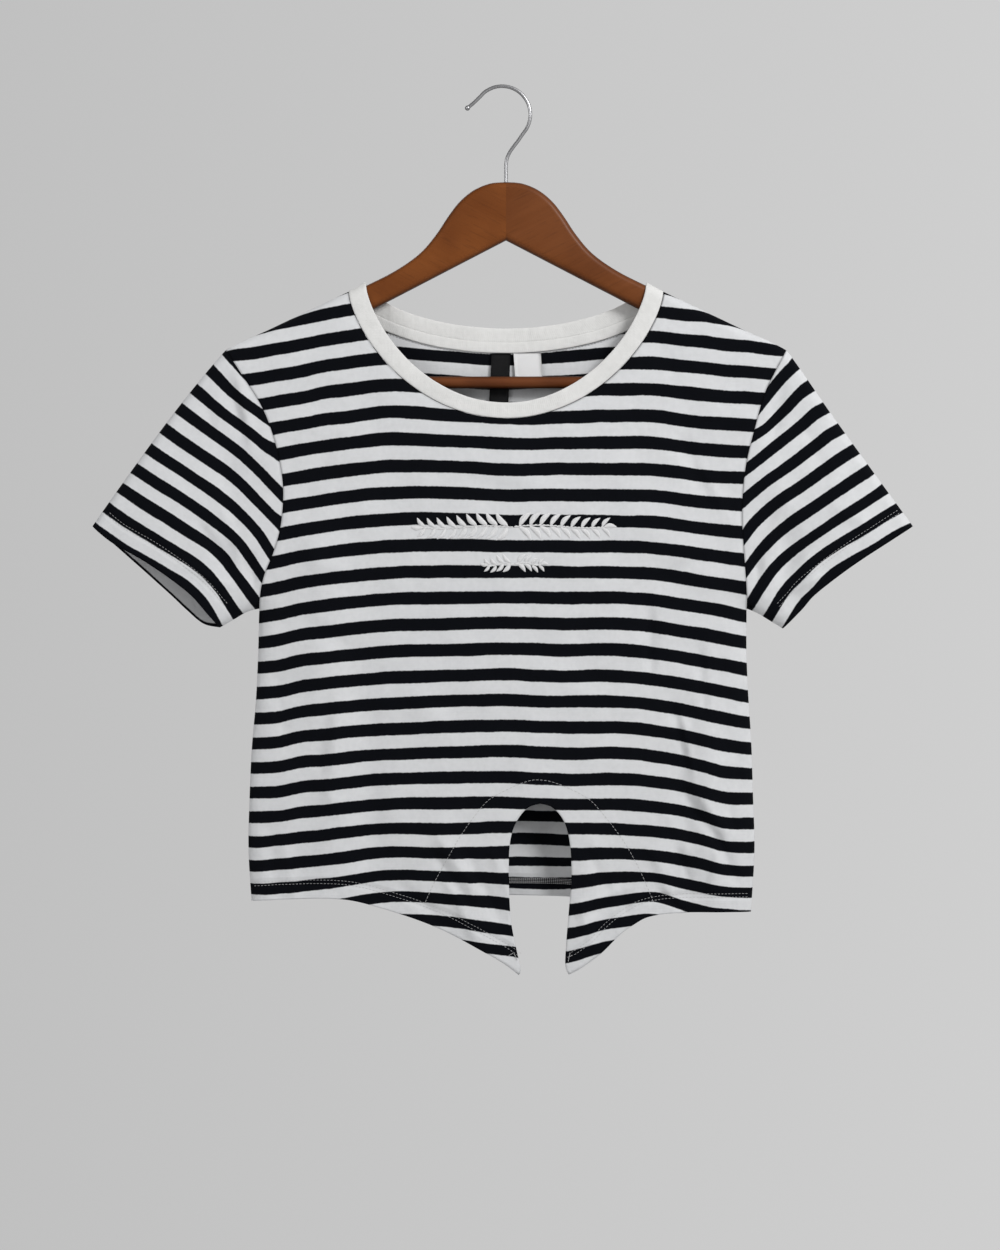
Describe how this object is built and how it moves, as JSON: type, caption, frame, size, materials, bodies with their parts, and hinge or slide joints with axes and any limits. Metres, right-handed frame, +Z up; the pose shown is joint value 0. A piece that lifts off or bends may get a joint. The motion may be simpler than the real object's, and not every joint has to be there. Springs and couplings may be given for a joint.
{
  "type": "crop top on a hanger",
  "caption": "Short-sleeved striped jersey crop top with a plain neckband and a notched tie hem, hanging on a wooden hanger",
  "frame": {"origin": "the top of the inside of the hook, where a rail bears on it", "axes": "+Z up; the front of the garment faces -Y; X runs from the viewer's left sleeve to the right one"},
  "size_m": [0.6561, 0.0324, 0.7115],
  "materials": {
    "jersey": "cotton jersey in narrow navy-black and white stripes",
    "rib": "white cotton rib",
    "dark_label": "woven satin",
    "white_label": "woven satin",
    "stained_wood": "stained and varnished",
    "chrome_wire": "bright plated"
  },
  "bodies": {
    "root": {"front": "jersey", "back": "jersey", "sleeve_left": "jersey", "sleeve_right": "jersey", "neckband": "rib", "neck_tape": "rib", "label_brand": "dark_label", "label_care": "white_label", "hanger_wood": "stained_wood", "hanger_bar": "stained_wood", "hanger_hook": "chrome_wire"}
  },
  "joints": []
}
